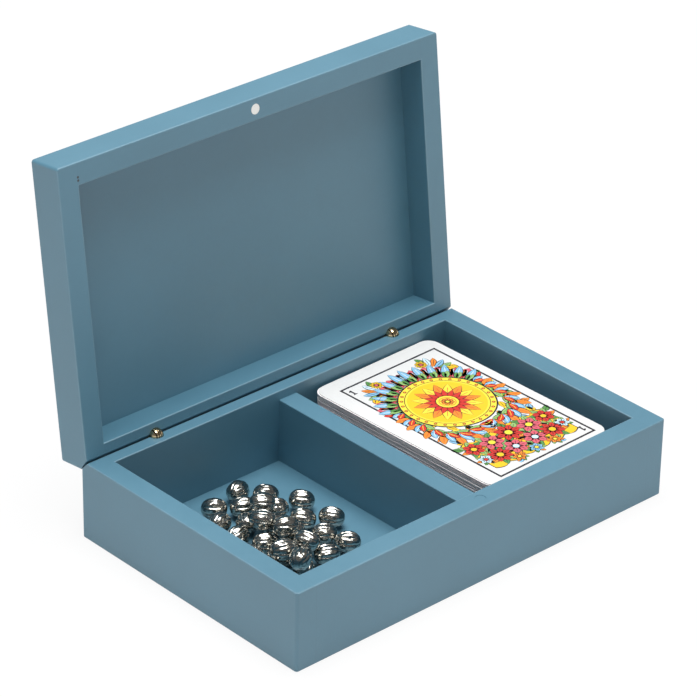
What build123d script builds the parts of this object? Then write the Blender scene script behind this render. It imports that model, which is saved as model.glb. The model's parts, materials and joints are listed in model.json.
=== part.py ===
"""Hinged card box: a lacquered wooden tray with two bays and a hinged lid, filled with two decks
of cards and a heap of metal counters.

Millimetres. +X runs along the hinge line, +Y towards the hinges, +Z up. The origin is the middle
of the underside. The lid is modelled shut and then turned about the hinge pins to stand open, and
that open position is the rest position.
"""

import math
import os

import numpy as np
from build123d import *

# Carcass
box_width = 182.0
box_depth = 117.5
base_height = 32.2
lid_height = 14.8
wall = 8.8
corner_radius = 1.2
outer_ease = 0.5
inner_ease = 0.4

# Boards let into rebates around the carcass
floor_thickness = 2.0
lid_panel_thickness = 3.0
rebate_width = 4.0
board_fit = 0.05

# Divider, housed in shallow dadoes in the front and rear walls
divider_thickness = 8.8
divider_drop = 3.8
divider_position = 1.0
dado_depth = 2.0

# Lid movement: the two rear edges are chamfered, and the chamfers stop the open lid. The gap
# between them is widest in front and closes towards the rear by the taper, in degrees
open_angle = 96.5
pivot_drop = 0.2
pivot_inset = 3.6
parting_gap = 0.2
chamfer_gap = 0.9
chamfer_taper = 6.5

# Brass barrel hinges, one near each end of the rear wall
barrel_diameter = 5.0
barrel_length = 9.0
barrel_neck = 4.0
barrel_fit = 0.1
knuckle_width = 5.5
knuckle_diameter = 5.6
hinge_inset = 32.2
plate_count = 5
inner_plate_thickness = 0.55
plate_gap = 0.4
pin_diameter = 1.2
pin_length = 4.6
pin_press_fit = 0.01
pin_running_fit = 0.04

# Closing magnets, one in the middle of each front rim
magnet_diameter = 4.0
magnet_thickness = 3.0
magnet_fit = 0.05
magnet_recess = 0.1

# Two decks of cards, lying on each other in the right bay, which leaves room on their four sides
deck_room_left = 7.3
deck_room_right = 8.0
deck_room_front = 3.7
deck_room_rear = 1.2
card_corner_radius = 5.0
card_thickness = 0.3
card_spacing = 0.02
cards_per_deck = 40
deck_turn = 1.35
card_shift = 0.22
card_twist = 0.12

# Metal counters in the left bay
counter_length = 9.8
counter_thickness = 8.6
counter_gap = 0.12

# Each counter's spot in hundredths of the bay's width and depth from the front left inner
# corner, its turn and its tilt in degrees
counter_spots = [
    (60.5, 87.5, 18, 8),
    (68.5, 79.0, -35, 6),
    (42.0, 84.0, -39, 0),
    (78.0, 67.5, -36, 10),
    (78.5, 51.5, -50, 0),
    (66.0, 44.5, -30, 5),
    (69.5, 35.0, -42, 0),
    (53.0, 78.0, -30, 0),
    (35.5, 75.0, 20, 0),
    (64.0, 69.5, -30, 4),
    (45.0, 68.5, 45, 20),
    (53.5, 61.5, -20, 0),
    (67.5, 57.5, -35, 12),
    (40.0, 53.5, -28, 6),
    (51.5, 43.5, -35, 0),
    (55.0, 33.5, -25, 0),
    (37.5, 43.5, -35, 0),
    (39.0, 32.0, 60, 0),
    (34.0, 63.5, 10, 0),
    (55.0, 52.5, -38, 0),
    (25.5, 52.0, -60, 0),
    (25.0, 38.0, 30, 0),
    (22.0, 63.0, 25, 0),
    (21.5, 45.0, -10, 0),
    (47.5, 49.5, -25, 5),
    (43.5, 58.5, -50, 0),
    (47.5, 38.0, -60, 6),
    (34.0, 38.5, -20, 0),
    (33.5, 29.0, 35, 0),
    (53.0, 67.0, -30, 7),
]

bay_width_left = box_width / 2 - wall + divider_position - divider_thickness / 2
bay_width_right = box_width / 2 - wall - divider_position - divider_thickness / 2
bay_depth = box_depth - 2 * wall
card_width = bay_width_right - deck_room_left - deck_room_right
card_length = bay_depth - deck_room_front - deck_room_rear
inner_pitch = inner_plate_thickness + plate_gap
outer_plate_thickness = (knuckle_width + plate_gap - (plate_count - 2) * inner_pitch) / 2 - plate_gap
plate_thicknesses = [outer_plate_thickness] + [inner_plate_thickness] * (plate_count - 2)
plate_thicknesses += [outer_plate_thickness]
plate_starts = [
    sum(plate_thicknesses[:index]) + index * plate_gap - knuckle_width / 2
    for index in range(plate_count)
]
pivot_y = box_depth / 2 - pivot_inset
pivot_z = base_height - pivot_drop
lid_rim_z = base_height + parting_gap
half_open = math.radians(open_angle / 2)
hinge_places = {
    "left": -box_width / 2 + hinge_inset,
    "right": box_width / 2 - hinge_inset,
}
FROM_BELOW = (Align.CENTER, Align.CENTER, Align.MIN)
FROM_ABOVE = (Align.CENTER, Align.CENTER, Align.MAX)


def block(x_range, y_range, z_range):
    """A box between two limits on each axis."""
    size = [high - low for low, high in (x_range, y_range, z_range)]
    middle = [(low + high) / 2 for low, high in (x_range, y_range, z_range)]
    return Pos(*middle) * Box(*size)


def tray_frame(height, board_thickness):
    """Four walls as one ring, rim up, with a rebate for the board around the bottom."""
    ring = Box(box_width, box_depth, height, align=FROM_BELOW)
    ring = fillet(ring.edges().filter_by(Axis.Z), corner_radius)
    ring = fillet(ring.faces().sort_by(Axis.Z)[-1].edges(), outer_ease)
    ring = fillet(ring.faces().sort_by(Axis.Z)[0].edges(), outer_ease)
    inner_width = box_width - 2 * wall
    pocket = Box(inner_width, bay_depth, height, align=FROM_BELOW)
    ring -= pocket
    rim = ring.faces().sort_by(Axis.Z)[-1]
    ring = fillet(rim.inner_wires()[0].edges(), inner_ease)
    rebate = Box(
        inner_width + 2 * rebate_width,
        bay_depth + 2 * rebate_width,
        board_thickness,
        align=FROM_BELOW,
    )
    return ring - rebate


def board(thickness):
    """The board that lies in a frame's rebate."""
    return Box(
        box_width - 2 * wall + 2 * (rebate_width - board_fit),
        bay_depth + 2 * (rebate_width - board_fit),
        thickness,
        align=FROM_BELOW,
    )


def half_space(distance, direction_z, start, taper=0):
    """Everything beyond a plane that leans back by half the opening angle over the pivot line,
    less a taper, from a start measured along the slope towards the rear."""
    normal = (0, math.sin(half_open), direction_z * math.cos(half_open))
    origin = (0, pivot_y + normal[1] * distance, pivot_z + normal[2] * distance)
    plane = Plane(origin=origin, x_dir=(direction_z, 0, 0), z_dir=normal)
    everything = Box(box_width + box_depth, 2 * box_depth, box_depth, align=FROM_BELOW)
    return plane * Rot(taper, 0, 0) * Pos(0, start + box_depth, 0) * everything


def base_chamfer(start=-box_depth):
    """What the chamfer takes off the base's rear edge."""
    return half_space(pivot_drop * math.cos(half_open), 1, start)


def lid_chamfer(start=-box_depth):
    """What the chamfer takes off the shut lid's rear edge."""
    distance = -pivot_drop * math.cos(half_open) - chamfer_gap
    return half_space(distance, -1, start, chamfer_taper)


def split_walls(frame):
    """Cuts a frame at its butt joints: the side walls run full depth, the others fit between."""
    x_in = box_width / 2 - wall
    y_in = box_depth / 2 - wall
    far = box_width + box_depth
    everywhere = (-far, far)
    return {
        "left": frame & block((-far, -x_in), everywhere, everywhere),
        "right": frame & block((x_in, far), everywhere, everywhere),
        "front": frame & block((-x_in, x_in), (-far, -y_in), everywhere),
        "rear": frame & block((-x_in, x_in), (y_in, far), everywhere),
    }


def opened(shape):
    """Turns a piece of the shut lid to the open position."""
    return shape.rotate(Axis((0, pivot_y, pivot_z), (1, 0, 0)), -open_angle)


def barrel(plates, pin_fit):
    """A hinge barrel under its pivot at the origin: a round shank and its slices of the knuckle."""
    radius = barrel_diameter / 2
    solid = Pos(0, 0, -barrel_neck) * Cylinder(radius, barrel_length - barrel_neck, align=FROM_ABOVE)
    knuckle = Rot(0, 90, 0) * Sphere(knuckle_diameter / 2)
    neck = Cylinder(radius, barrel_neck + inner_plate_thickness, align=FROM_ABOVE)
    across = (-barrel_length, barrel_length)
    for index in plates:
        start = plate_starts[index]
        slab = block((start, start + plate_thicknesses[index]), across, across)
        solid += (knuckle & slab) + (neck & slab)
    bore = Rot(0, 90, 0) * Cylinder(pin_diameter / 2 + pin_fit, pin_length + 2 * pin_running_fit)
    return solid - bore


def magnet_hole():
    """The hole for a magnet, mouth up at the origin."""
    return Cylinder(
        magnet_diameter / 2 + magnet_fit, magnet_thickness + magnet_recess, align=FROM_ABOVE
    )


def magnet():
    """A disc magnet in that hole, just below its mouth."""
    return Pos(0, 0, -magnet_recess) * Cylinder(
        magnet_diameter / 2, magnet_thickness, align=FROM_ABOVE
    )


def hinge_hole():
    """The hole for a hinge barrel, under the pivot and up past the rim, its mouth widened."""
    radius = barrel_diameter / 2 + barrel_fit
    depth = barrel_length + barrel_fit
    hole = Pos(0, 0, -depth) * Cylinder(radius, depth + 2 * barrel_diameter, align=FROM_BELOW)
    return hole + Sphere(knuckle_diameter / 2 + barrel_fit)


def place_base():
    """The base: four walls, floor, divider and front magnet."""
    frame = tray_frame(base_height, floor_thickness)
    frame -= base_chamfer()
    for x in hinge_places.values():
        frame -= Pos(x, pivot_y, pivot_z) * hinge_hole()
    magnet_spot = Pos(0, -box_depth / 2 + wall / 2, base_height)
    frame -= magnet_spot * magnet_hole()
    divider = divider_board()
    pieces = {f"base_{side}_wall": part - divider for side, part in split_walls(frame).items()}
    pieces["base_floor"] = board(floor_thickness)
    pieces["divider"] = divider
    pieces["base_magnet"] = magnet_spot * magnet()
    return pieces


def divider_board():
    """The upright board between the two bays, its top edges eased."""
    height = base_height - divider_drop - floor_thickness
    length = bay_depth + 2 * dado_depth
    upright = Box(divider_thickness, length, height, align=FROM_BELOW)
    upright = fillet(upright.edges().filter_by(Axis.Y).sort_by(Axis.Z)[-2:], inner_ease)
    return Pos(divider_position, 0, floor_thickness) * upright


def place_lid():
    """The lid: four rails, panel and front magnet, opened."""
    turned = Pos(0, 0, lid_rim_z + lid_height) * Rot(180, 0, 0)
    frame = turned * tray_frame(lid_height, lid_panel_thickness)
    frame -= lid_chamfer()
    for x in hinge_places.values():
        frame -= Pos(x, pivot_y, pivot_z) * Rot(180, 0, 0) * hinge_hole()
    magnet_spot = Pos(0, -box_depth / 2 + wall / 2, lid_rim_z) * Rot(180, 0, 0)
    frame -= magnet_spot * magnet_hole()
    pieces = {f"lid_{side}_rail": part for side, part in split_walls(frame).items()}
    pieces["lid_panel"] = turned * board(lid_panel_thickness)
    pieces["lid_magnet"] = magnet_spot * magnet()
    return {name: opened(part) for name, part in pieces.items()}


def place_hinges():
    """Both hinges: a base barrel, a lid barrel with the other slices of the knuckle, and a pin."""
    lid_plates = range(0, plate_count, 2)
    base_plates = range(1, plate_count, 2)
    trim_start = 0.3 * knuckle_diameter
    pieces = {}
    for side, x in hinge_places.items():
        pivot = Pos(x, pivot_y, pivot_z)
        base_barrel = pivot * barrel(base_plates, pin_press_fit)
        lid_barrel = pivot * Rot(180, 0, 0) * barrel(lid_plates, pin_running_fit)
        pieces[f"hinge_{side}_base_barrel"] = base_barrel - base_chamfer(trim_start)
        pieces[f"hinge_{side}_lid_barrel"] = opened(lid_barrel - lid_chamfer(trim_start))
        pieces[f"hinge_{side}_pin"] = pivot * Rot(0, 90, 0) * Cylinder(pin_diameter / 2, pin_length)
    return pieces


def place_cards():
    """Two decks of loose cards, each card a little out of line with the next."""
    outline = RectangleRounded(card_width, card_length, card_corner_radius)
    card = extrude(outline, card_thickness)
    deck_x = divider_position + divider_thickness / 2 + deck_room_left + card_width / 2
    deck_y = bay_depth / 2 - deck_room_rear - card_length / 2
    pieces = {}
    for deck_index, name in enumerate(["deck_lower", "deck_upper"]):
        cards = []
        for place in range(cards_per_deck):
            level = deck_index * cards_per_deck + place
            z = floor_thickness + card_spacing + level * (card_thickness + card_spacing)
            x = deck_x + card_shift * math.sin(2.4 * level)
            y = deck_y + card_shift * math.sin(1.7 * level + 1)
            turn = deck_turn + card_twist * math.sin(3.1 * level)
            cards.append(Pos(x, y, z) * Rot(0, 0, turn) * card)
        pieces[name] = cards
    top_card = pieces["deck_upper"].pop()
    decks = {name: Compound(children=cards) for name, cards in pieces.items()}
    decks["top_card"] = top_card
    return decks


def counter_axes(turn, tilt):
    """A counter's long axis and two cross axes, as the columns of a rotation."""
    turned, tilted = math.radians(turn), math.radians(tilt)
    about_z = np.array(
        [
            [math.cos(turned), -math.sin(turned), 0],
            [math.sin(turned), math.cos(turned), 0],
            [0, 0, 1],
        ]
    )
    about_y = np.array(
        [
            [math.cos(tilted), 0, math.sin(tilted)],
            [0, 1, 0],
            [-math.sin(tilted), 0, math.cos(tilted)],
        ]
    )
    return about_z @ about_y


def resting_height(x, y, axes, placed):
    """How high a counter's middle comes to rest, let down onto the floor and the counters there.

    Points on its surface go down until one of them reaches the floor or the shell, one gap wide,
    around a counter that already lies there. That is the larger root of a quadratic in height.
    """
    half = np.array([counter_length, counter_thickness, counter_thickness]) / 2
    around, along = np.meshgrid(np.radians(range(0, 360, 6)), np.radians(range(-90, 91, 6)))
    sphere = [np.sin(along), np.cos(along) * np.cos(around), np.cos(along) * np.sin(around)]
    surface = (axes @ (np.array(sphere).reshape(3, -1) * half[:, None])).T
    heights = [floor_thickness + counter_gap - surface[:, 2].min()]
    for other_x, other_y, other_z, other_axes in placed:
        shell = other_axes @ np.diag(1 / (half + counter_gap) ** 2) @ other_axes.T
        offset = surface + np.array([x - other_x, y - other_y, -other_z])
        linear = (offset @ shell)[:, 2]
        constant = np.einsum("ij,jk,ik->i", offset, shell, offset) - 1
        root = linear**2 - shell[2, 2] * constant
        if (root > 0).any():
            heights.append(((np.sqrt(root[root > 0]) - linear[root > 0]) / shell[2, 2]).max())
    return max(heights)


def place_counters():
    """The heap of counters: rounded beads, each lowered onto what already lies under it."""
    half_length, half_thickness = counter_length / 2, counter_thickness / 2
    upper_half = EllipticalCenterArc((0, 0), half_length, half_thickness, arc_size=180)
    outline = make_face([upper_half, Line((-half_length, 0), (half_length, 0))])
    counter = revolve(outline, Axis.X)
    corner_x, corner_y = -box_width / 2 + wall, -bay_depth / 2
    placed = []
    pieces = {}
    for number, spot in enumerate(counter_spots, start=1):
        share_across, share_back, turn, tilt = spot
        x = corner_x + bay_width_left * share_across / 100
        y = corner_y + bay_depth * share_back / 100
        axes = counter_axes(turn, tilt)
        z = resting_height(x, y, axes, placed)
        placed.append((x, y, z, axes))
        pieces[f"counter_{number:02d}"] = Pos(x, y, z) * Rot(0, 0, turn) * Rot(0, tilt, 0) * counter
    print("top of the heap", round(max(z for _, _, z, _ in placed) + half_thickness, 1))
    return pieces


os.makedirs("parts", exist_ok=True)
pieces = place_base() | place_lid() | place_hinges() | place_cards() | place_counters()
for name, part in pieces.items():
    export_step(part, f"parts/{name}.step")
print(len(pieces), "pieces")
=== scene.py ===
import json
import math

import bpy
import numpy as np
from mathutils import Matrix, Vector


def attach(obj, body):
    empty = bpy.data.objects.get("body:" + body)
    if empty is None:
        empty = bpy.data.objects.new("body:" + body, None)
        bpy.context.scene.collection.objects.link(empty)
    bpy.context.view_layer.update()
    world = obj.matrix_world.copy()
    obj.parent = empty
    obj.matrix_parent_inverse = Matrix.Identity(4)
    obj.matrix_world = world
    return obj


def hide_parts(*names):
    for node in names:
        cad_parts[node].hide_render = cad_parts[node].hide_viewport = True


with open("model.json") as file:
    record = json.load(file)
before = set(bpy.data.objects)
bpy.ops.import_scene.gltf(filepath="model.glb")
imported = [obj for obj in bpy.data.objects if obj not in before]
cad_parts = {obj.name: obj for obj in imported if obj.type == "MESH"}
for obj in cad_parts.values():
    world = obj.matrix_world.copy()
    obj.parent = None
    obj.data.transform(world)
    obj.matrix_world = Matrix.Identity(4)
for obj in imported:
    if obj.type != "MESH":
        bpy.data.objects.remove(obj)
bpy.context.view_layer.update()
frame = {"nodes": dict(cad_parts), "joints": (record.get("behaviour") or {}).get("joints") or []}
nodes = frame["nodes"]

# Camera: a long lens looking down at the box's front left corner, as in the photograph.
# The angles are in degrees and the target in metres, in the box's own frame.
camera_azimuth = -42.829
camera_elevation = 28.929
camera_roll = 1.047
camera_target = Vector((0.053308, 0.073582, 0.020))
camera_distance = 1.381888
focal_length_pixels = 3553.0
frame_pixels = 697

azimuth, elevation = math.radians(camera_azimuth), math.radians(camera_elevation)
backwards = Vector((
    math.sin(azimuth) * math.cos(elevation),
    -math.cos(azimuth) * math.cos(elevation),
    math.sin(elevation),
))
level_right = (-backwards).cross(Vector((0, 0, 1))).normalized()
level_up = backwards.cross(level_right)
roll = math.radians(camera_roll)
right = math.cos(roll) * level_right + math.sin(roll) * level_up
up = math.cos(roll) * level_up - math.sin(roll) * level_right

lens = bpy.data.cameras.new("photograph_view")
lens.sensor_fit = "HORIZONTAL"
lens.sensor_width = 36.0
lens.lens = focal_length_pixels / frame_pixels * lens.sensor_width
camera = bpy.data.objects.new("photograph_view", lens)
camera.matrix_world = (
    Matrix.Translation(camera_target + camera_distance * backwards)
    @ Matrix((right, up, backwards)).transposed().to_4x4()
)
bpy.context.scene.collection.objects.link(camera)
bpy.context.scene.camera = camera
bpy.context.scene.view_settings.view_transform = "Standard"


# Studio: a white table that runs out into a white background, which lights the object from
# low down on all sides, and a soft box overhead. Metal and gloss see the same background.
class Shade:
    """A socket in a node tree. Arithmetic on it adds Math nodes to the tree."""

    def __init__(self, tree, socket=None):
        self.tree, self.socket = tree, socket

    def node(self, kind, settings=None, output=0, **sockets):
        """Adds a node. Its settings and ramp stops are set first, then its sockets, by name with
        underscores for spaces, or as n0, n1 by number, each to a value or another Shade."""
        made = self.tree.nodes.new("ShaderNode" + kind)
        for name, value in (settings or {}).items():
            if name == "stops":
                ramp = made.color_ramp.elements
                while len(ramp) < len(value):
                    ramp.new(0.5)
                for stop, (place, colour) in zip(ramp, value):
                    stop.position, stop.color = place, (*colour, 1.0)
            else:
                setattr(made, name, value)
        for name, value in sockets.items():
            key = int(name[1:]) if name[1:].isdigit() else name.replace("_", " ")
            if isinstance(value, Shade):
                self.tree.links.new(value.socket, made.inputs[key])
            else:
                made.inputs[key].default_value = value
        return Shade(self.tree, made.outputs[output] if made.outputs else None)

    def math(self, operation, first, second=0.0):
        return self.node("Math", {"operation": operation}, n0=first, n1=second)

    def vector(self, operation, **sockets):
        return self.node("VectorMath", {"operation": operation}, n0=self, **sockets)

    def axis(self, letter):
        return self.node("SeparateXYZ", output="XYZ".index(letter), n0=self)

    def smooth(self, low, high):
        """0 below the low value, 1 above the high one, and a smooth step between."""
        settings = {"interpolation_type": "SMOOTHSTEP"}
        return self.node("MapRange", settings, Value=self, From_Min=low, From_Max=high)

    def mix(self, first, second):
        """The first colour where this is 0 and the second where it is 1."""
        return self.node(
            "Mix", {"data_type": "RGBA"}, output=2, n0=self,
            n6=first if isinstance(first, Shade) else (*first, 1.0),
            n7=second if isinstance(second, Shade) else (*second, 1.0),
        )

    def noise(self, size, detail=2.0, roughness=0.5):
        """Noise around 0.5 with blobs of about this size, over a vector in millimetres."""
        return self.node(
            "TexNoise", Vector=self, Scale=1.0 / size, Detail=detail, Roughness=roughness
        )

    def __abs__(self):
        return self.math("ABSOLUTE", self)

    def __add__(self, other):
        return self.math("ADD", self, other)

    def __sub__(self, other):
        return self.math("SUBTRACT", self, other)

    def __rsub__(self, other):
        return self.math("SUBTRACT", other, self)

    def __mul__(self, other):
        return self.math("MULTIPLY", self, other)

    __radd__, __rmul__ = __add__, __mul__


def seen_directly(tree):
    """1 for what the camera, a mirror or glass sees, and 0 for what only lights the object."""
    path = tree.nodes.new("ShaderNodeLightPath")
    rays = [Shade(tree, path.outputs[f"Is {kind} Ray"]) for kind in ("Camera", "Glossy", "Transmission")]
    both = rays[0].math("MAXIMUM", rays[0], rays[1])
    return both.math("MAXIMUM", both, rays[2])


table_brightness = 0.90
table_half, table_level = 4.0, -0.0001
horizon_light, upper_light = 0.88, 0.20
upper_gloss = 0.16

world = bpy.data.worlds.new("white_studio")
world.use_nodes = True
world.node_tree.nodes.clear()
sky = Shade(world.node_tree)
height = sky.node("TexCoord", output=0).axis("Z")
seen = seen_directly(world.node_tree)
lighting = height.smooth(0.05, 0.30).mix((horizon_light,) * 3, (upper_light,) * 3)
background = height.smooth(0.05, 0.35).mix((1.0, 1.0, 1.0), (upper_gloss,) * 3)
sky_colour = seen.mix(lighting, background)
sky.node("OutputWorld", Surface=sky.node("Background", Color=sky_colour))
bpy.context.scene.world = world

table_paint = bpy.data.materials.new("white_table")
table_paint.use_nodes = True
table_paint.node_tree.nodes.clear()
table = Shade(table_paint.node_tree)
lit = table.node("BsdfDiffuse", Color=(0.85, 0.85, 0.85, 1.0))
glow = table.node("Emission", Color=(1.0, 1.0, 1.0, 1.0))
share = seen_directly(table_paint.node_tree) * table_brightness
table.node("OutputMaterial", Surface=table.node("MixShader", n0=share, n1=lit, n2=glow))

table_mesh = bpy.data.meshes.new("table")
table_mesh.from_pydata(
    [(x * table_half, y * table_half, table_level) for x, y in ((-1, -1), (1, -1), (1, 1), (-1, 1))],
    [], [(0, 1, 2, 3)],
)
table_mesh.materials.append(table_paint)
table_top = bpy.data.objects.new("table", table_mesh)
bpy.context.scene.collection.objects.link(table_top)


lamp_place, lamp_aim = Vector((0.02, 0.02, 1.5)), Vector((0.0, 0.0, 0.03))
lamp = bpy.data.lights.new("overhead", "AREA")
lamp.size, lamp.energy = 1.0, 31.5
lamp_holder = bpy.data.objects.new("overhead", lamp)
lamp_turn = (lamp_aim - lamp_place).to_track_quat("-Z", "Y").to_matrix().to_4x4()
lamp_holder.matrix_world = Matrix.Translation(lamp_place) @ lamp_turn
bpy.context.scene.collection.objects.link(lamp_holder)


# Carcass: the base's four walls, its floor and the divider between the bays. They are machined
# wood board, butt-jointed and glued, then sprayed with a blue-grey satin lacquer all over.
box_width, box_depth, wall = 182.0, 117.5, 8.8
lacquer_colour = (0.072, 0.203, 0.286)
lacquer_deep = (0.067, 0.194, 0.274)
lacquer_pale = (0.077, 0.213, 0.299)
joint_shadow = (0.045, 0.115, 0.165)
# A near-black colour painted into the pin holes as the shade inside them.
pin_hole_painted_shade = (0.012, 0.016, 0.020)
# A pale colour painted along the rim edges as a highlight, where the eased edges catch the light.
painted_edge_highlight = (0.36, 0.50, 0.58)
joint_share, edge_highlight_share = 0.14, 0.30
peel_depth = 0.03
rim_level = 32.3
lacquer_ior = 1.85


def new_finish(name, colour, roughness, metallic=0.0):
    """A material, its Principled shader, and its Object coordinates in millimetres."""
    material = bpy.data.materials.new(name)
    material.use_nodes = True
    shader = material.node_tree.nodes["Principled BSDF"]
    shader.inputs["Base Color"].default_value = (*colour, 1.0)
    shader.inputs["Roughness"].default_value = roughness
    shader.inputs["Metallic"].default_value = metallic
    place = Shade(material.node_tree).node("TexCoord", output="Object")
    return material, shader, place.vector("SCALE", Scale=1000.0)


def drive(shader, socket, shade):
    """Feeds one of the shader's sockets from a Shade."""
    shade.tree.links.new(shade.socket, shader.inputs[socket])


def relief(height, depth):
    """A normal from a height between 0 and 1, for a relief of this depth in millimetres."""
    return height.node("Bump", Strength=1.0, Distance=depth / 1000.0, Height=height)


def satin_lacquer(name, hinge=None, angle=0.0, pin_holes=()):
    """Sprayed satin lacquer: faint clouds of tone, orange peel, pin holes painted near-black as the
    shade inside them, hairlines over the joints, at |x| = half width less a wall past the inner
    corners, and a painted highlight along the rims' inner and outer edges, in the box's shut
    position. Across a rim, past_inner goes from 0 at its inner edge to a wall at its outer."""
    material, shader, place = new_finish(name, lacquer_colour, 0.50)
    shader.inputs["IOR"].default_value = lacquer_ior
    shut = place
    if hinge:
        centre = [1000.0 * value for value in hinge]
        shut = place.node(
            "VectorRotate", {"rotation_type": "X_AXIS"}, Vector=place, Center=centre, Angle=angle
        )
    clouds = place.noise(38.0, 3.0)
    mottle = place.noise(2.6, 4.0, 0.6)
    tone = (clouds * 0.7 + mottle * 0.3).smooth(0.30, 0.70)
    from_joint = abs(abs(shut.axis("X")) - (box_width / 2 - wall))
    corner_y = box_depth / 2 - wall
    hairline = (1 - from_joint.smooth(0.04, 0.22)) * abs(shut.axis("Y")).smooth(corner_y, corner_y + 0.5)
    colour = (hairline * joint_share).mix(tone.mix(lacquer_deep, lacquer_pale), joint_shadow)
    # Painted highlight: a pale line along the rims' inner and outer edges, at rim height.
    past_inner = shut.math(
        "MAXIMUM", abs(shut.axis("X")) - (box_width / 2 - wall), abs(shut.axis("Y")) - corner_y
    )
    from_edge = shut.math("MINIMUM", abs(past_inner), abs(past_inner - wall))
    from_edge = from_edge + abs(shut.axis("Z") - rim_level)
    colour = ((1 - from_edge.smooth(0.20, 0.65)) * edge_highlight_share).mix(colour, painted_edge_highlight)
    # Pin holes: a near-black spot painted at each, as the shade inside the tiny hole.
    for x, y in pin_holes:
        across, back = shut.axis("X") - x, shut.axis("Y") - y
        hole = 1 - (across * across + back * back).smooth(0.08, 0.34)
        colour = (hole * (1 - shut.axis("Z").smooth(33.0, 34.0))).mix(colour, pin_hole_painted_shade)
    drive(shader, "Base Color", colour)
    drive(shader, "Roughness", mottle * 0.08 + clouds * 0.08 + 0.42)
    peel = place.noise(0.9) * 0.8 + place.noise(0.25) * 0.2
    drive(shader, "Normal", relief(peel - hairline * 0.3, peel_depth))
    return material


def dress(material, *names):
    """Gives CAD nodes a material."""
    for name in names:
        slots = nodes[name].data.materials
        slots.clear()
        slots.append(material)


base_lacquer = satin_lacquer("satin_lacquer")
dress(
    base_lacquer, "base_left_wall", "base_right_wall", "base_front_wall", "base_rear_wall",
    "base_floor", "divider",
)


# Lid: four rails and a panel let into their back, in the same board and lacquer. It stands open
# on its chamfered rear edge. Two pin holes near one corner are painted as near-black spots of shade.
lid_pin_holes = [(-82.25, -53.13), (-82.26, -51.9)]
lid_hinge = frame["joints"][0]
lid_lacquer = satin_lacquer(
    "satin_lacquer_lid", lid_hinge["pos_m"], math.radians(lid_hinge["range_deg"][1]),
    pin_holes=lid_pin_holes,
)
dress(lid_lacquer, "lid_left_rail", "lid_right_rail", "lid_front_rail", "lid_rear_rail", "lid_panel")


# Magnets: a bare nickel-plated disc in the lid's front rim, and one in the base's front rim
# that the lacquer covers.
nickel_colour = (0.80, 0.79, 0.76)
nickel, nickel_shader, nickel_place = new_finish("nickel_plate", nickel_colour, 0.24, 1.0)
scuffs = nickel_place.noise(0.35, 3.0)
drive(nickel_shader, "Roughness", scuffs * 0.25 + 0.18)
drive(nickel_shader, "Normal", relief(scuffs, 0.008))
dress(nickel, "lid_magnet")
dress(base_lacquer, "base_magnet")


# Hinges: turned brass barrels pressed into the rear walls, their knuckles sliced into plates
# that turn on a brass pin. The brass is polished, with a little tarnish in random patches.
brass_colour = (0.72, 0.58, 0.36)
brass_tarnish = (0.34, 0.25, 0.13)
brass, brass_shader, brass_place = new_finish("polished_brass", brass_colour, 0.24, 1.0)
tarnish = brass_place.noise(0.8, 3.0).smooth(0.48, 0.72)
drive(brass_shader, "Base Color", (tarnish * 0.6).mix(brass_colour, brass_tarnish))
drive(brass_shader, "Roughness", tarnish * 0.2 + 0.17)
drive(brass_shader, "Normal", relief(brass_place.noise(0.4, 2.0), 0.006))
dress(brass, *(name for name in nodes if name.startswith("hinge_")))


# Decks: two decks of forty cards of white pasteboard. Their cut edges show fine pale and grey
# bands that vary with height.
card_white = (0.74, 0.74, 0.73)
edge_pale = (0.98, 0.94, 0.94)
edge_dark = (0.80, 0.72, 0.73)
edges, edges_shader, edges_place = new_finish("card_edges", edge_pale, 0.55)
layers = edges_place.vector("MULTIPLY", n1=(0.03, 0.03, 1.0)).noise(0.8, 2.0)
fibres = edges_place.noise(0.5, 3.0)
drive(edges_shader, "Base Color", (layers * 0.8 + fibres * 0.2).smooth(0.35, 0.62).mix(edge_dark, edge_pale))
drive(edges_shader, "Normal", relief(fibres, 0.01))
dress(edges, "deck_lower", "deck_upper")

card_stock, stock_shader, stock_place = new_finish("card_face", card_white, 0.42)
weave = stock_place.noise(0.35, 2.0)
drive(stock_shader, "Base Color", stock_place.noise(9.0, 3.0).mix((0.72, 0.72, 0.71), (0.76, 0.76, 0.75)))
drive(stock_shader, "Normal", relief(weave, 0.004))
dress(card_stock, "top_card")


# Print on the top card: a plain ace of coins with a rayed gold coin, a garland above and sprays
# of leaves and flowers around and below, inside a ruled frame. It is flat ink in layers, each a
# strip between two edge lines, in millimetres from the card's middle.
ink_black = (0.018, 0.016, 0.022)
ink_gold = (0.90, 0.56, 0.02)
ink_yellow = (0.95, 0.72, 0.06)
ink_orange = (0.85, 0.26, 0.03)
ink_red = (0.62, 0.035, 0.025)
ink_rose = (0.68, 0.12, 0.16)
ink_green = (0.10, 0.30, 0.07)
ink_leaf = (0.30, 0.50, 0.16)
ink_blue = (0.24, 0.50, 0.72)
ink_pale = (0.60, 0.78, 0.88)
ink_white = (0.86, 0.86, 0.84)
ink_step = 0.006
outline_width = 0.26
strips = []


def strip(first, second, colour, level):
    """Ink between two edge lines of matching points."""
    strips.append((np.asarray(first, float), np.asarray(second, float), colour, level))


def ring(centre, inner, outer, colour, level, steps=72):
    """Ink between two circles: centre + radius (cos a, sin a)."""
    angle = np.linspace(0.0, 2.0 * np.pi, steps + 1)
    spoke = np.column_stack([np.cos(angle), np.sin(angle)])
    strip(np.add(centre, inner * spoke), np.add(centre, outer * spoke), colour, level)


def line(points, width, colour, level):
    """A stroke of even width along points, half the width to each side of its direction."""
    points = np.asarray(points, float)
    along = np.gradient(points, axis=0)
    along /= np.linalg.norm(along, axis=1, keepdims=True)
    across = 0.5 * width * np.column_stack([-along[:, 1], along[:, 0]])
    strip(points + across, points - across, colour, level)


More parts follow.
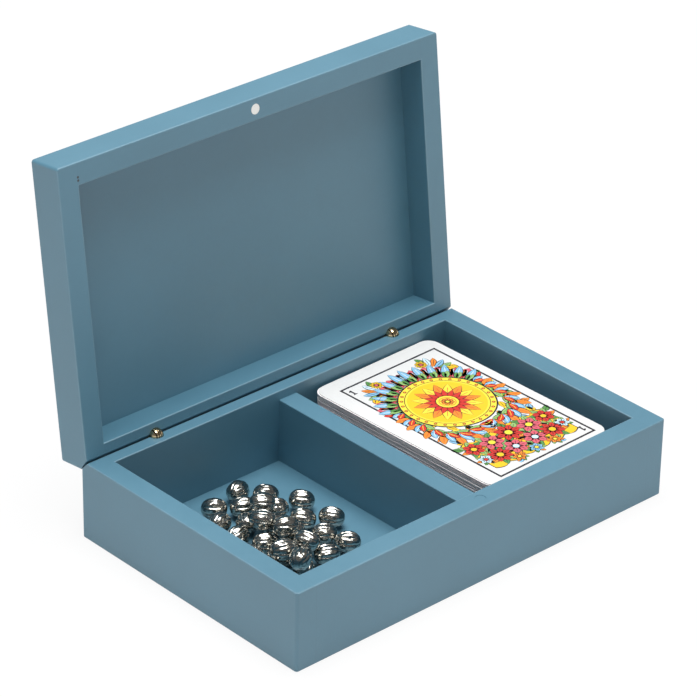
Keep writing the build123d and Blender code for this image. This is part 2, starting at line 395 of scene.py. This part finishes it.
def midline(root, heading, length, bend, steps=14):
    """Points on an arc of this length from a root: the heading turns evenly by the bend."""
    turn = np.radians(heading) + np.radians(bend) * (np.arange(steps) + 0.5) / steps
    hops = length / steps * np.column_stack([np.cos(turn), np.sin(turn)])
    return np.add(root, np.vstack([[0.0, 0.0], np.cumsum(hops, axis=0)]))


def leaf(root, heading, length, width, colour, level, bend=0.0, fullness=0.8, vein=None):
    """A leaf or petal on an arc: its half width is w/2 sin(pi t)^fullness, a dark outline lies
    under it, and a vein may run along its middle."""
    points = midline(root, heading, length, bend)
    along = np.gradient(points, axis=0)
    along /= np.linalg.norm(along, axis=1, keepdims=True)
    normal = np.column_stack([-along[:, 1], along[:, 0]])
    share = np.sin(np.pi * np.linspace(0.0, 1.0, len(points)))[:, None] ** fullness
    for extra, tone, depth in ((outline_width, ink_black, level), (0.0, colour, level + 1)):
        half = (0.5 * width + extra) * share + 0.3 * extra
        strip(points + half * normal, points - half * normal, tone, depth)
    if vein:
        line(points[2:-3], 0.22, vein, level + 2)


def flower(centre, radius, petals, colour, heart, level, turn=0.0):
    """A flower: petals around a round heart."""
    for step in range(petals):
        heading = turn + 360.0 * step / petals
        width = 1.25 * radius * math.sin(math.pi / petals)
        leaf(centre, heading, radius, width, colour, level, 0.0, 0.6, ink_black)
    ring(centre, 0.0, 0.34 * radius, ink_black, level + 2, 20)
    ring(centre, 0.0, 0.27 * radius, heart, level + 3, 20)


def mirrored(draw):
    """Draws a motif on both halves of the card, right and left."""
    for side in (1, -1):
        draw(side, lambda heading: heading if side > 0 else 180.0 - heading)


frame_u, frame_v = 24.7, 42.0
frame_middle = np.array([1.5, -1.8])
for side in (1, -1):
    for half_run, offset in (([frame_u + 0.45, 0.0], [0.0, frame_v]), ([0.0, frame_v], [frame_u, 0.0])):
        rule = frame_middle + np.multiply(side, offset)
        line([rule - half_run, rule + half_run], 0.9, ink_black, 2)

coin = np.array([0.8, 7.5])
coin_radius = 19.0
ring(coin, 0.0, coin_radius, ink_black, 11)
ring(coin, 0.0, coin_radius - 0.6, ink_yellow, 12)
ring(coin, coin_radius - 3.0, coin_radius - 2.7, ink_black, 13)
for step in range(30):
    spoke = math.radians(12.0 * step + 6.0)
    bead = coin + (coin_radius - 1.7) * np.array([math.cos(spoke), math.sin(spoke)])
    ring(bead, 0.0, 0.72, ink_black, 13, 12)
    ring(bead, 0.0, 0.45, ink_orange, 14, 12)
ring(coin, 0.0, coin_radius - 3.8, ink_gold, 13)
for step in range(16):
    leaf(coin, 22.5 * step, 13.6, 3.9, ink_orange if step % 2 else ink_yellow, 14, 0.0, 0.9, ink_red)
for step in range(16):
    leaf(coin, 22.5 * step + 11.25, 9.2, 2.3, ink_red, 17, 0.0, 0.9)
ring(coin, 0.0, 4.6, ink_black, 19)
ring(coin, 0.0, 4.3, ink_yellow, 20)
ring(coin, 3.1, 3.35, ink_red, 21)
flower(coin, 2.8, 8, ink_orange, ink_yellow, 21)


def foliage(side, facing):
    """Under it all: a bed of small leaves that turn by a fixed step from each to the next."""
    inks = (ink_leaf, ink_gold, ink_green, ink_yellow, ink_blue, ink_orange)
    for row in range(16):
        for column in range(6):
            u, v = 2.2 + 3.8 * column - 1.6 * (row % 2), -37.5 + 4.0 * row
            number = 6 * row + column
            if v > -36.0 or u < 16.0:
                leaf(frame_middle * [1, 0] + [side * u, v], facing(137.0 * number), 5.0, 2.3,
                     inks[(2 * number + row) % 6], 1, side * 50, 0.8, ink_black)


def garland(side, facing):
    """Over the coin: rose and red tulips on an arc, with blue buds between them, and a fan of
    leaves in each upper corner."""
    for step in range(6):
        heading = 84.0 - 12.5 * step
        spoke = math.radians(heading)
        foot = coin + 18.4 * np.array([side * math.cos(spoke), math.sin(spoke)])
        leaf(foot, facing(heading + 32), 9.6, 3.6, ink_rose, 4, side * -30, 0.7, ink_pale)
        leaf(foot, facing(heading - 26), 8.4, 3.2, ink_red, 4, side * 26, 0.7, ink_orange)
        leaf(foot, facing(heading + 3), 11.4 - 0.4 * step, 3.0, ink_blue, 6, 0.0, 0.8, ink_white)
        leaf(foot, facing(heading - 7), 5.4, 2.0, ink_leaf, 8, 0.0, 0.8, ink_green)
        leaf(foot, facing(heading + 14), 4.8, 1.8, ink_green, 8, 0.0, 0.8)
    for step, tone in enumerate((ink_green, ink_pale, ink_orange, ink_blue, ink_leaf, ink_gold)):
        foot = frame_middle + [side * (13.0 + 0.5 * step), 34.0 - 0.9 * step]
        leaf(foot, facing(80.0 - 24.0 * step), 7.0, 2.2, tone, 4 + step % 2, side * 24, 0.8, ink_black)
    flower(frame_middle + [side * 11.8, 36.2], 2.6, 8, ink_gold, ink_rose, 8)


def side_spray(side, facing):
    """Beside and under the coin: curling leaves in greens and blues with orange tongues."""
    for u, v, heading, reach in (
        (18.4, 12.0, 62.0, 0.7), (18.8, 6.5, 50.0, 0.75), (18.8, 1.5, 35.0, 0.8),
        (17.9, -4.0, 8.0, 0.85), (16.2, -8.5, -14.0, 0.95), (13.0, -11.4, -38.0, 1.0),
        (8.6, -12.4, -60.0, 0.95), (3.4, -12.6, -80.0, 0.9),
    ):
        foot = coin * [1, 0] + [side * u, v]
        leaf(foot, facing(heading + 34), 8.4 * reach, 2.6, ink_green, 4, side * 60, 0.8, ink_yellow)
        leaf(foot, facing(heading - 4), 9.6 * reach, 3.1, ink_orange, 4, side * -46, 0.8, ink_red)
        leaf(foot, facing(heading - 38), 7.8 * reach, 2.5, ink_blue, 5, side * -40, 0.8, ink_white)
        leaf(foot, facing(heading + 66), 6.0 * reach, 2.0, ink_leaf, 5, side * 30, 0.8, ink_green)
        leaf(foot, facing(heading - 72), 6.4 * reach, 2.3, ink_red, 6, side * -30, 0.8, ink_yellow)


def lower_bed(side, facing):
    """Below: flowers in red and gold over a scalloped gold ground, down to the frame's foot."""
    across = np.linspace(0.0, 21.5, 60)
    for colour, rim, level in ((ink_black, 0.35, 3), (ink_gold, 0.0, 4)):
        scallop = -20.4 + 1.8 * np.abs(np.sin(np.pi * across / 7.2)) + rim
        foot = -38.2 - 1.4 * np.abs(np.sin(np.pi * across / 7.2)) - rim
        wide = frame_middle[0] + side * across * (1.0 + rim / 21.5)
        strip(np.column_stack([wide, scallop]), np.column_stack([wide, foot]), colour, level)
    for u, v, radius, petals, colour, heart in (
        (0.0, -23.6, 5.6, 8, ink_red, ink_yellow),
        (9.8, -24.6, 5.0, 6, ink_rose, ink_yellow),
        (18.4, -23.8, 4.2, 6, ink_red, ink_gold),
        (5.0, -32.4, 4.8, 6, ink_rose, ink_pale),
        (13.8, -32.8, 5.0, 8, ink_red, ink_gold),
        (20.2, -31.8, 2.9, 6, ink_pale, ink_red),
        (0.0, -38.0, 2.8, 6, ink_blue, ink_yellow),
        (9.4, -38.4, 2.6, 6, ink_orange, ink_yellow),
    ):
        if u == 0.0 and side < 0:
            continue
        middle = (frame_middle[0] + side * u, v)
        for step in range(7):
            heading = 15.0 + 360.0 / 7.0 * step + 4.0 * u
            leaf(middle, facing(heading), 1.45 * radius, 0.5 * radius,
                 (ink_leaf, ink_green, ink_orange)[step % 3], 5, side * 30, 0.8, ink_black)
        flower(middle, radius, petals, colour, heart, 8, 10.0 * u)


for motif in (foliage, garland, side_spray, lower_bed):
    mirrored(motif)
for side in (1, -1):
    foot = frame_middle + np.multiply(side, [-22.2, 36.6])
    line([foot, foot + [0.0, side * 3.2]], 0.8, ink_black, 3)
    line([foot - [0.9, 0.0], foot + [0.9, 0.0]], 0.45, ink_black, 3)
    line([foot + [0.0, side * 3.1], foot + [-side * 1.0, side * 2.2]], 0.5, ink_black, 3)


def node_points(name):
    """The distinct mesh points of a CAD node, in metres."""
    mesh = nodes[name].data
    points = np.empty(3 * len(mesh.vertices), np.float32)
    mesh.vertices.foreach_get("co", points)
    return np.unique(points.reshape(-1, 3).round(6), axis=0).astype(float)


def new_piece(name, points, faces, material, body, smooth=True):
    """A mesh object from point and face arrays in metres, riding on a body."""
    mesh = bpy.data.meshes.new(name)
    mesh.from_pydata(points.tolist(), [], faces.tolist())
    mesh.polygons.foreach_set("use_smooth", [smooth] * len(faces))
    mesh.materials.append(material)
    piece = bpy.data.objects.new(name, mesh)
    bpy.context.scene.collection.objects.link(piece)
    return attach(piece, body)


def long_axis(points):
    """The middle of a set of points and the direction in which they spread most."""
    middle = 0.5 * (points.min(0) + points.max(0))
    spread, directions = np.linalg.eigh(np.cov((points - middle).T))
    return middle, directions[:, np.argmax(spread)]


card_points = node_points("top_card")
card_middle, card_up = long_axis(card_points)
card_up = card_up * np.sign(card_up[1])
card_across = np.array([card_up[1], -card_up[0], 0.0])
card_top = card_points[:, 2].max()

print_points, print_faces, print_colours, start = [], [], [], 0
for first, second, colour, level in strips:
    flat = np.stack([first, second], axis=1).reshape(-1, 2) / 1000.0
    height = card_top + (level * ink_step) / 1000.0
    placed = card_middle + flat[:, :1] * card_across + flat[:, 1:] * card_up
    placed[:, 2] = height
    row = start + 2 * np.arange(len(first) - 1)
    quads = np.column_stack([row, row + 1, row + 3, row + 2])
    corner = placed[quads - start]
    crossing = np.cross(corner[:, 2] - corner[:, 0], corner[:, 3] - corner[:, 1])[:, 2]
    if crossing.sum() < 0.0:
        quads = quads[:, ::-1]
    print_points.append(placed)
    print_faces.append(quads)
    print_colours.append(np.tile([*colour, 1.0], (len(placed), 1)))
    start += len(placed)
print_points = np.vstack(print_points)

ink, ink_shader, ink_place = new_finish("printed_ink", ink_gold, 0.45)
ink_tone = Shade(ink.node_tree).node("Attribute", {"attribute_name": "ink"}, output="Color")
drive(ink_shader, "Base Color", ink_tone)
drive(ink_shader, "Normal", relief(ink_place.noise(0.35, 2.0), 0.004))
card_print = new_piece("card_print", print_points, np.vstack(print_faces), ink, "deck_upper", False)
colour_layer = card_print.data.color_attributes.new("ink", "FLOAT_COLOR", "POINT")
colour_layer.data.foreach_set("color", np.vstack(print_colours).ravel())


# Counters: cast pewter-like metal beads, fluted along their length, a little dented and
# polished bright, lying loose in the left bay. Each takes its place and lie from its CAD solid.
counter_colour = (0.53, 0.51, 0.46)
counter_patina = (0.09, 0.12, 0.14)
counter_length, counter_thickness = 9.8, 8.6
flutes = 9
flute_depth = 0.13
dent_depth = 0.055
dent_waves = ((2, 2), (3, 3), (4, 5), (2, 9), (3, 13), (2, 17), (7, 5), (9, 8))
bead_relief = 0.30
counter_rows, counter_columns = 40, 108

counter_metal, counter_shader, counter_place = new_finish("polished_bead_metal", counter_colour, 0.13, 1.0)
patina = counter_place.noise(1.1, 3.0).smooth(0.46, 0.70)
drive(counter_shader, "Base Color", (patina * 0.8).mix(counter_colour, counter_patina))
drive(counter_shader, "Roughness", patina * 0.15 + 0.15)
drive(counter_shader, "Normal", relief(counter_place.noise(2.0, 3.0), bead_relief))


def fluted_bead(seed):
    """A bead along X of unit half length and unit radius. At height u from pole to pole and
    angle v it has x = -cos u and radius sin u (1 - flute |sin(n v / 2)| sin u - dents), where
    the dents are a few slow waves of random phase."""
    chance = np.random.default_rng(seed)
    u = np.linspace(0.0, np.pi, counter_rows)[:, None]
    v = np.linspace(0.0, 2.0 * np.pi, counter_columns, endpoint=False)[None, :]
    groove = 1.0 - np.abs(np.sin(0.5 * flutes * v + chance.uniform(0, np.pi)))
    dents = sum(
        np.sin(k * u + chance.uniform(0, 6.28))
        * np.sin(m * v + chance.uniform(0, 6.28)) * 4.0 / (k + m)
        for k, m in dent_waves
    )
    worn = flute_depth * groove ** 3 * np.sin(u) + dent_depth * (1.0 + 0.6 * dents)
    radius = np.sin(u) ** 0.9 * (1.0 - worn)
    x = -np.cos(u) * (1.0 + 0.0 * v)
    return np.stack([x, radius * np.cos(v), radius * np.sin(v)], axis=-1)


def closed_grid(rows, columns):
    """Faces of a grid that closes around its columns and comes to a pole at both ends."""
    row, column = np.meshgrid(np.arange(rows - 1), np.arange(columns), indexing="ij")
    following = (column + 1) % columns
    return np.stack([
        row * columns + column, row * columns + following,
        (row + 1) * columns + following, (row + 1) * columns + column,
    ], axis=-1).reshape(-1, 4)


for number, name in enumerate(sorted(node for node in nodes if node.startswith("counter_"))):
    middle, along = long_axis(node_points(name))
    sideways = np.cross([0.0, 0.0, 1.0], along)
    sideways /= np.linalg.norm(sideways)
    axes = np.stack([along, sideways, np.cross(along, sideways)])
    size = 0.5 * np.array([counter_length, counter_thickness, counter_thickness]) / 1000.0
    points = middle + (fluted_bead(number + 1).reshape(-1, 3) * size) @ axes
    bead = new_piece(
        name.replace("counter", "fluted_counter"), points,
        closed_grid(counter_rows, counter_columns), counter_metal, "counters",
    )
    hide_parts(name)
